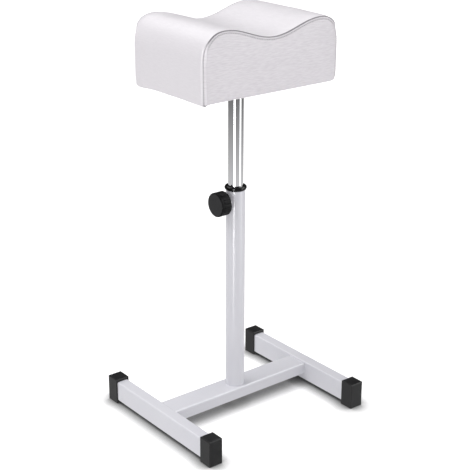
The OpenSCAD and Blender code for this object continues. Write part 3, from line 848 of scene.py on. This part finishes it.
def swollen(shell):
    """Runs the cloth for a few frames and returns how far each point moved."""
    held = shell.vertex_groups.new(name="held")
    kinds = [a.value for a in shell.data.attributes["station"].data]
    gaps = [a.value for a in shell.data.attributes["from_seam"].data]
    for i, (kind, gap) in enumerate(zip(kinds, gaps)):
        if kind == HEMMED or shell.data.vertices[i].co.z < UNDERSIDE + MM:
            held.add([i], HEM_HOLD, "REPLACE")
        elif gap == 0:
            held.add([i], SEAM_HOLD, "REPLACE")
    cloth = shell.modifiers.new("stuffing", "CLOTH")
    settings = cloth.settings
    settings.quality = 8
    settings.mass = 0.4
    settings.tension_stiffness = settings.compression_stiffness = 40
    settings.shear_stiffness = 20
    settings.bending_stiffness = 4
    settings.vertex_group_mass = "held"
    settings.pin_stiffness = 1.0
    settings.use_pressure = True
    settings.uniform_pressure_force = PRESSURE
    settings.effector_weights.gravity = 0
    cloth.point_cache.frame_start, cloth.point_cache.frame_end = 1, FRAMES
    for number in range(1, FRAMES + 1):
        bpy.context.scene.frame_set(number)
    shaped = shell.evaluated_get(bpy.context.evaluated_depsgraph_get()).data
    moves = [b.co - a.co for a, b in zip(shell.data.vertices, shaped.vertices)]
    shell.modifiers.remove(cloth)
    bpy.context.scene.frame_set(1)
    return moves


# %% Inflate the bag
SWELL_LIMIT = 0.0035
SADDLE_LIMIT = 0.0010
SADDLE_LOW, SADDLE_SIDE = 0.775, 0.085
moves = swollen(bag)
print("largest move in mm:", round(max(m.length for m in moves) / MM, 2))
for vert, move in zip(bag.data.vertices, moves):
    in_saddle = vert.co.z > SADDLE_LOW and abs(vert.co.x) < SADDLE_SIDE
    limit = SADDLE_LIMIT if in_saddle else SWELL_LIMIT
    if move.length > limit:
        move = move * (limit / move.length)
    vert.co = vert.co + move

# %% [markdown]
# ## Seams
# A sewn edge is not a sharp corner. Along the top, the wrap panel rolls over the seam as a small
# lip, and the end panel has a second row of stitches five millimetres lower that holds the folded
# layers flat. Along the sides the cover is pulled tight, so the end panel's edge becomes a narrow
# slope. More rows are cut near the seams and along the bottom, and every point is then moved by
# its distance from the seam.

# %% Cut more rows near the seams and along the bottom
ROW_TOLERANCE = 1e-5
UPRIGHT_SHARE = 0.7
BOTTOM_BAND = 0.0145
bm = bmesh.new()
bm.from_mesh(bag.data)
station = bm.verts.layers.int["station"]
from_seam = bm.verts.layers.float["from_seam"]
rise = bm.verts.layers.float["rise"]
panel = bm.faces.layers.int["panel"]
painted_shade_and_dark_tip = bm.verts.layers.float.new("painted_shade_and_dark_tip")


def crossing(low, high):
    """The edges that run from one row to the next, between two distances from the seam."""
    found = []
    for edge in bm.edges:
        ends = sorted(v[from_seam] for v in edge.verts)
        walls = all(v[station] != HEMMED for v in edge.verts)
        if walls and abs(ends[0] - low) < ROW_TOLERANCE and abs(ends[1] - high) < ROW_TOLERANCE:
            found.append(edge)
    return found


def upright_below(level):
    """The wall edges that stand upright below a level."""
    found = []
    for edge in bm.edges:
        heights = sorted(v.co.z for v in edge.verts)
        walls = all(v[station] != HEMMED for v in edge.verts)
        steep = heights[1] - heights[0] > UPRIGHT_SHARE * edge.calc_length()
        if walls and steep and heights[1] < level:
            found.append(edge)
    return found


bmesh.ops.subdivide_edges(bm, edges=crossing(0, STITCH_LINE), cuts=10, use_grid_fill=True)
bmesh.ops.subdivide_edges(bm, edges=crossing(STITCH_LINE, CORE_INSET), cuts=5, use_grid_fill=True)
low_edges = upright_below(UNDERSIDE + BOTTOM_BAND)
bmesh.ops.subdivide_edges(bm, edges=low_edges, cuts=3, use_grid_fill=True)
print("with seam rows:", len(bm.verts), "points")


# %% Two soft curves
def hill(distance, reach):
    """A smooth bump, 1 at no distance and nearly 0 beyond twice its reach."""
    return math.exp(-((distance / reach) ** 2))


def eased(value, low, high):
    """Rises smoothly from 0 to 1 between two values."""
    share = min(max((value - low) / (high - low), 0), 1)
    return share * share * (3 - 2 * share)


def topness(steepness):
    """1 where the seam runs over the top of the cushion, 0 where it runs down a side."""
    return eased(steepness, 0.25, 0.75)


# %% Shape the seams, and store how much shade is painted along them
ROLL_TOP, ROLL_SIDE, ROLL_REACH = 0.0011, 0.0007, 0.0011
LIP, LIP_PLACE, LIP_REACH = 0.0003, 0.0013, 0.0010
GROOVE_DEPTH, GROOVE_REACH, SIDE_GROOVE = 0.0009, 0.0008, 0.3
WELT_HEIGHT, WELT_REACH = 0.0004, 0.0016
SLOPE_DEPTH, SLOPE_REACH = 0.0046, 0.0062
SIDE_DRAW, SIDE_REACH = 0.0016, 0.0085
WAVE_HEIGHT, WAVE_RATE, WAVE_FROM, WAVE_FULL = 0.0004, 26.0, 0.004, 0.02
SIDE_SHADE = 0.5
WRAP_PAINTED_SHADE, WRAP_PAINTED_SHADE_REACH = 0.5, 0.0007
SEAM_PAINTED_SHADE, SEAM_PAINTED_SHADE_REACH = 0.8, 0.0014
STITCH_PAINTED_SHADE, STITCH_PAINTED_SHADE_REACH = 0.55, 0.0009
RIGHT_EDGE_PAINTED_SHADE, RIGHT_EDGE_SHADE_PLACE, RIGHT_EDGE_SHADE_REACH = 0.24, 0.0070, 0.0018

bm.normal_update()
for vert in bm.verts:
    if vert[station] == HEMMED:
        continue
    gap, up = vert[from_seam], topness(vert[rise])
    kinds = {f[panel] for f in vert.link_faces}
    side, end = math.copysign(1, vert.co.x), math.copysign(1, vert.co.y)
    lift = -(ROLL_TOP * up + ROLL_SIDE * (1 - up)) * hill(gap, ROLL_REACH)
    lift += WAVE_HEIGHT * noise.noise(vert.co * WAVE_RATE) * eased(gap, WAVE_FROM, WAVE_FULL)
    pull = (1 - up) * max(1 - gap / (SIDE_REACH if WRAP in kinds else SLOPE_REACH), 0)
    shift = Vector((-side * SIDE_DRAW * pull, -end * SLOPE_DEPTH * pull, 0))
    # How strongly the seam's painted shade shows: fully along the top, half as much down the sides.
    shade = SIDE_SHADE + (1 - SIDE_SHADE) * up
    if WRAP in kinds:
        shift.y += end * LIP * up * hill(gap - LIP_PLACE, LIP_REACH)
        # Painted shade: the wrap is darkened right at the seam.
        vert[painted_shade_and_dark_tip] = WRAP_PAINTED_SHADE * shade * hill(gap, WRAP_PAINTED_SHADE_REACH)
    if kinds - {WRAP}:
        lift += WELT_HEIGHT * up * hill(gap - STITCH_LINE / 2, WELT_REACH)
        groove = SIDE_GROOVE + (1 - SIDE_GROOVE) * up
        lift -= GROOVE_DEPTH * groove * hill(gap - STITCH_LINE, GROOVE_REACH)
        # Painted shade: the end panel is darkened at the seam, and in the stitch groove along the
        # top.
        vert[painted_shade_and_dark_tip] = SEAM_PAINTED_SHADE * shade * hill(gap, SEAM_PAINTED_SHADE_REACH)
        vert[painted_shade_and_dark_tip] += STITCH_PAINTED_SHADE * up * hill(gap - STITCH_LINE, STITCH_PAINTED_SHADE_REACH)
        # Painted shade: a faint dark line about seven millimetres in from the seam, down the right
        # side only.
        if side > 0:
            vert[painted_shade_and_dark_tip] += RIGHT_EDGE_PAINTED_SHADE * (1 - up) * hill(gap - RIGHT_EDGE_SHADE_PLACE, RIGHT_EDGE_SHADE_REACH)
    vert.co = vert.co + shift + vert.normal * lift
print("deepest tint:", round(max(v[painted_shade_and_dark_tip] for v in bm.verts), 2))

# %% [markdown]
# Along the bottom the cover is pulled round the board and stapled under it. Its edge is a roll
# that hangs a little lower towards the corners. Three corners are folded round and full. At the
# near left one the folds are pulled to a sharp tip.

# %% Sizes of the bottom edge
SAG, TIP_SAG, BACK_SAG = 0.0011, 0.0008, 0.0034
TIP_SAG_NEAR, TIP_SAG_FAR = 0.02, 0.06
BACK_SAG_NEAR, BACK_SAG_FAR = 0.012, 0.075
EDGE_NEAR, EDGE_FAR = 0.0045, 0.0085
SAG_HEIGHT, ROLL_HEIGHT = 0.03, 0.04
SIDE_ROLL, END_ROLL = 0.003, 0.0045
TIP_FOLD, FULL_FOLD, FOLD_LENGTH = 0.002, 0.014, 0.016
print("deepest sag in mm:", round((SAG + BACK_SAG) / MM, 1))


# %% Roll the bottom edges under
def rolled(inward, height, radius):
    """Rounds a corner: takes and gives the distance in from the wall and up from below."""
    a, b = radius - inward, radius - height
    if a <= 0 or b <= 0:
        return inward, height
    keep = max(a, b) / math.hypot(a, b)
    return radius - a * keep, radius - b * keep


def drop(tip, back, to_end, to_side, height):
    """How far the bottom edge hangs at a point, which is most near the tip and towards the back."""
    low = SAG
    if tip:
        low += TIP_SAG * (1 - eased(to_end, TIP_SAG_NEAR, TIP_SAG_FAR))
    elif back:
        low += BACK_SAG * (1 - eased(to_end, BACK_SAG_NEAR, BACK_SAG_FAR))
    low *= 1 - eased(to_side, EDGE_NEAR, EDGE_FAR)
    return low * (1 - eased(height, 0.0, SAG_HEIGHT))


for vert in bm.verts:
    x, y, height = abs(vert.co.x), abs(vert.co.y), vert.co.z - UNDERSIDE
    if height > ROLL_HEIGHT:
        continue
    tip = vert.co.x < 0 and vert.co.y < 0
    to_end, to_side = max(HALF_DEPTH - y, 0), max(HALF_WIDTH - x, 0)
    wall = HALF_WIDTH - HEM_DRAW + round_over(to_end)
    hang = drop(tip, vert.co.y > 0, to_end, max(wall - x, 0), height)
    fold = TIP_FOLD if tip else FULL_FOLD
    radius = fold + (SIDE_ROLL - fold) * eased(to_end, 0.0, FOLD_LENGTH)
    inward, height = rolled(wall - x, height, radius)
    x = wall - inward
    wall = HALF_DEPTH + PANEL_PROUD
    radius = fold + (END_ROLL - fold) * eased(to_side, 0.0, FOLD_LENGTH)
    inward, height = rolled(wall - y, height, radius)
    y = wall - inward
    vert.co = math.copysign(x, vert.co.x), math.copysign(y, vert.co.y), UNDERSIDE + height - hang
print("bottom edge rolled")

# %% Darken the sharp tip
TIP_DARK, TIP_DARK_REACH, TIP_DARK_END = 0.85, 0.0022, 0.006
front_left = [v for v in bm.verts if v[from_seam] == 0 and v.co.x < 0 and v.co.y < 0]
corner = min(front_left, key=lambda v: v.co.z)
# Darker towards the sharp tip, written into the same attribute as the seams' painted shade.
for vert in bm.verts:
    away = (vert.co - corner.co).length
    if away < TIP_DARK_END:
        vert[painted_shade_and_dark_tip] = max(vert[painted_shade_and_dark_tip], TIP_DARK * hill(away, TIP_DARK_REACH))
sewn = bm
print("lowest corner in mm:", [round(c / MM, 1) for c in corner.co])

# %% [markdown]
# ## The leatherette
# The cover is white leatherette with a cool, faintly pink cast. Its grain is fine pebbles. The
# end panels are cut across the roll, so the backing shows through them as fine level ribs. They
# are also a touch darker, which is painted shade for the cushion's end faces. Along the seams the
# colour is darkened as painted shade, and a spot at the sharp tip is darker too. How much is
# stored on the mesh and is read as an attribute.


# %% Leatherette finish
GRAIN_SCALE, PEBBLE_DEPTH = 620.0, 0.00004
SEAM_SHADE = "3E3A44"


def leatherette(name, light, dark, rib_depth):
    """White leatherette between two shades. The ribs are as deep as given, in metres."""
    hide = Finish(
        name, light, 0.36, Specular_IOR_Level=0.5, Sheen_Weight=0.08, Sheen_Roughness=0.4
    )
    pebbles = hide.group(grain, Scale=GRAIN_SCALE, Rib_Scale=GRAIN_SCALE)
    clouds = hide.group(uneven, Scale=22.0)
    # The seams' painted shade and the darker tip, as stored on the mesh.
    painted_shade_and_tip_mask = add(hide.tree, "Attribute", attribute_name="painted_shade_and_dark_tip")
    ribbed = hide.tint(hide.spread(pebbles["Ribs"], 0.0, 1.0), dark, light)
    raised = hide.bump(pebbles["Height"], PEBBLE_DEPTH)
    return hide.join(
        Base_Color=hide.tint(painted_shade_and_tip_mask.outputs["Fac"], ribbed, SEAM_SHADE),
        Roughness=hide.spread(clouds["Mask"], 0.31, 0.41),
        Normal=hide.bump(pebbles["Ribs"], rib_depth, under=raised),
    )


wrap_leatherette = leatherette("leatherette", "EBE8EC", "E7E4E8", 0.00003)
# The end panels get a darker copy of the leatherette: painted shade for the cushion's end faces.
shaded_end_leatherette = leatherette("leatherette_end_painted_shade", "E5E2E6", "D8D4D9", 0.00005)
print("leatherette:", wrap_leatherette.name, shaded_end_leatherette.name)

# %% Split the bag into its panels
THICKNESS = 0.0012


def cut_panel(name, kind, finish):
    """Copies one panel out of the bag, and gives it the cover's thickness and a smooth face."""
    part = sewn.copy()
    layer = part.faces.layers.int["panel"]
    others = [f for f in part.faces if f[layer] != kind]
    bmesh.ops.delete(part, geom=others, context="FACES")
    for face in part.faces:
        face.smooth = True
    made = new_object(name, part)
    smooth = made.modifiers.new("smooth", "SUBSURF")
    smooth.levels = smooth.render_levels = 1
    smooth.boundary_smooth = "PRESERVE_CORNERS"
    wall = made.modifiers.new("wall", "SOLIDIFY")
    wall.thickness = THICKNESS
    wall.offset = -1
    made.data.materials.append(finish)
    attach(made, "post")
    return made


wrap_cover = cut_panel("cushion_wrap", WRAP, wrap_leatherette)
front_cover = cut_panel("cushion_end_front", FRONT, shaded_end_leatherette)
back_cover = cut_panel("cushion_end_back", BACK, shaded_end_leatherette)
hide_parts("cover_wrap_panel")
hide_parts("cover_end_front")
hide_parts("cover_end_back")
print("panels:", wrap_cover.name, front_cover.name, back_cover.name)

# %% [markdown]
# ## Top stitching
# The second seam is sewn with white thread, four millimetres a stitch. Each stitch is a small
# swollen rod that lies in the groove. It is one low sphere, stretched and turned along the line,
# so that three hundred of them stay light.

# %% Thread
twisted = Finish("white_thread", "E6E3E7", 0.5, Sheen_Weight=0.2)
fibres = twisted.group(stipple, Scale=2600.0, Sharpness=0.7)
white_thread = twisted.join(
    Base_Color=twisted.tint(fibres["Height"], "DAD6DC", "EEECEF"),
    Normal=twisted.bump(fibres["Height"], 0.00005),
)
print("thread:", white_thread.name)


# %% Sew along the groove of an end panel
STITCH, THREAD = 0.004, 0.0003
HALF_STITCH = 0.42 * STITCH
LINE_TOLERANCE = 1e-6


def stitches(name, kind):
    """A row of stitches along the points of one end panel that lie on the stitch line."""
    row = [v for v in sewn.verts if abs(v[from_seam] - STITCH_LINE) < LINE_TOLERANCE]
    row = [v for v in row if v[station] >= 0 and {f[panel] for f in v.link_faces} == {kind}]
    row.sort(key=lambda v: (v[station], v.co.z if v[station] <= SIDE_STEPS else -v.co.z))
    line = [tuple(v.co + v.normal * THREAD) for v in row]
    length = sum(math.dist(a, b) for a, b in zip(line, line[1:]))
    points = [Vector(p) for p in equal_steps(line, round(length / STITCH))]
    bm = bmesh.new()
    for a, b in zip(points, points[1:]):
        turn = (b - a).to_track_quat("Z", "Y").to_matrix().to_4x4()
        size = Matrix.Diagonal((THREAD, THREAD, HALF_STITCH, 1))
        place = Matrix.Translation((a + b) / 2) @ turn @ size
        bmesh.ops.create_uvsphere(bm, u_segments=6, v_segments=5, radius=1, matrix=place)
    for face in bm.faces:
        face.smooth = True
    made = new_object(name, bm)
    made.data.materials.append(white_thread)
    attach(made, "post")
    print(name, "length in mm:", round(length / MM), "stitches:", len(points) - 1)
    return made


stitches("stitches_front", FRONT)
stitches("stitches_back", BACK)

# %% [markdown]
# ## The foam
# Under the cover lies one block of foam, cut to the same wave and glued to the board. It starts
# as a copy of the stuffed bag, is cut level with the top of the board, shrinks inside the cover,
# and its open foot is closed.

# %% Foam block
FOAM_INSET = 0.0034
SEAM_DRAW, SEAM_DRAW_REACH = 0.004, 0.008
BOARD_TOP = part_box("seat_board")[1].z
GLUE_GAP = 0.0002
bm = bmesh.new()
bm.from_mesh(bag.data)
bm.normal_update()
rise, from_seam = bm.verts.layers.float["rise"], bm.verts.layers.float["from_seam"]
for vert in bm.verts:
    near = max(1 - vert[from_seam] / SEAM_DRAW_REACH, 0)
    drawn = SEAM_DRAW * (1 - topness(vert[rise])) * near
    vert.co = vert.co - vert.normal * (FOAM_INSET + drawn)
bmesh.ops.bisect_plane(
    bm,
    geom=[*bm.verts, *bm.edges, *bm.faces],
    dist=1e-6,
    plane_co=(0, 0, BOARD_TOP + GLUE_GAP),
    plane_no=(0, 0, 1),
    clear_inner=True,
)
rim = [e for e in bm.edges if e.is_boundary]
bmesh.ops.holes_fill(bm, edges=rim, sides=0)
bmesh.ops.recalc_face_normals(bm, faces=bm.faces)
for face in bm.faces:
    face.smooth = len(face.verts) < 5
foam = new_object("foam_block", bm)
bpy.data.objects.remove(bag)
foam_top = max(v.co.z for v in foam.data.vertices)
print("foam height in mm:", round((foam_top - BOARD_TOP) / MM, 1))

# %% Foam finish
soft = Finish("cushion_foam", "EEE7CE", 0.9, Sheen_Weight=0.1)
cells = soft.group(grain, Scale=900.0)
aged = soft.group(uneven, Scale=12.0)
foam.data.materials.append(
    soft.join(
        Base_Color=soft.tint(aged["Mask"], "E8DFC0", "F3EEDB"),
        Normal=soft.bump(cells["Height"], 0.0003),
    )
)
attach(foam, "post")
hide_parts("foam_core")
print(foam.name, "stands for the packed foam")

# %% [markdown]
# ## The dust cloth
# A black fleece covers the underside. It lies over the hems at its rim, drops into the shallow
# step inside them, and is pulled into small puckers by its staples. It is a fine grid whose
# height is set by where a point lies, with a little thickness, and its finish is a felt of short
# fibres.

# %% The sheet
cloth_low, cloth_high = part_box("dust_cloth")
CLOTH_X, CLOTH_Y = (cloth_high - cloth_low)[:2]
CLOTH_LOW = cloth_low.z
STEP_X, STEP_Y = HALF_WIDTH - HEM_DRAW - HEM, HALF_DEPTH - HEM
CLOTH_THICKNESS, CLOTH_LIFT = 0.0004, 0.0002
STEP_RISE, STEP_NEAR, STEP_FAR = 0.0013, 0.0005, 0.0055
PUCKER, PUCKER_X, PUCKER_Y = 0.00016, 0.0062, 0.0068
PUCKER_NEAR, PUCKER_FAR = -0.004, 0.002
bm = bmesh.new()
bmesh.ops.create_grid(bm, x_segments=96, y_segments=64, size=0.5)
for vert in bm.verts:
    x, y = vert.co.x * CLOTH_X, vert.co.y * CLOTH_Y
    inside = min(STEP_X - abs(x), STEP_Y - abs(y))
    raised = STEP_RISE * eased(inside, STEP_NEAR, STEP_FAR)
    pucker = PUCKER * math.sin(x / PUCKER_X) * math.sin(y / PUCKER_Y)
    pucker *= eased(-inside, PUCKER_NEAR, PUCKER_FAR)
    vert.co = (x, y, CLOTH_LOW + CLOTH_LIFT + raised + pucker)
bmesh.ops.recalc_face_normals(bm, faces=bm.faces)
for face in bm.faces:
    face.smooth = True
cloth = new_object("dust_cloth_sheet", bm)
wall = cloth.modifiers.new("wall", "SOLIDIFY")
wall.thickness = CLOTH_THICKNESS
wall.offset = 0
print("dust cloth in mm:", round(CLOTH_X / MM), "x", round(CLOTH_Y / MM))

# %% Fleece
fleece = Finish(
    "black_fleece", "141416", 0.95, Specular_IOR_Level=0.2, Sheen_Weight=0.12, Sheen_Roughness=0.6
)
felt = fleece.group(stipple, Scale=1400.0, Sharpness=0.8)
cloth.data.materials.append(
    fleece.join(
        Base_Color=fleece.tint(felt["Height"], "0E0E10", "1E1E21"),
        Normal=fleece.bump(felt["Height"], 0.00012),
    )
)
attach(cloth, "post")
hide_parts("dust_cloth")
print(cloth.name, "stands for the packed cloth")

# %% [markdown]
# ## Colours
# Last, colours are shown as they are.

# %% Finish
bpy.context.scene.view_settings.view_transform = "Standard"
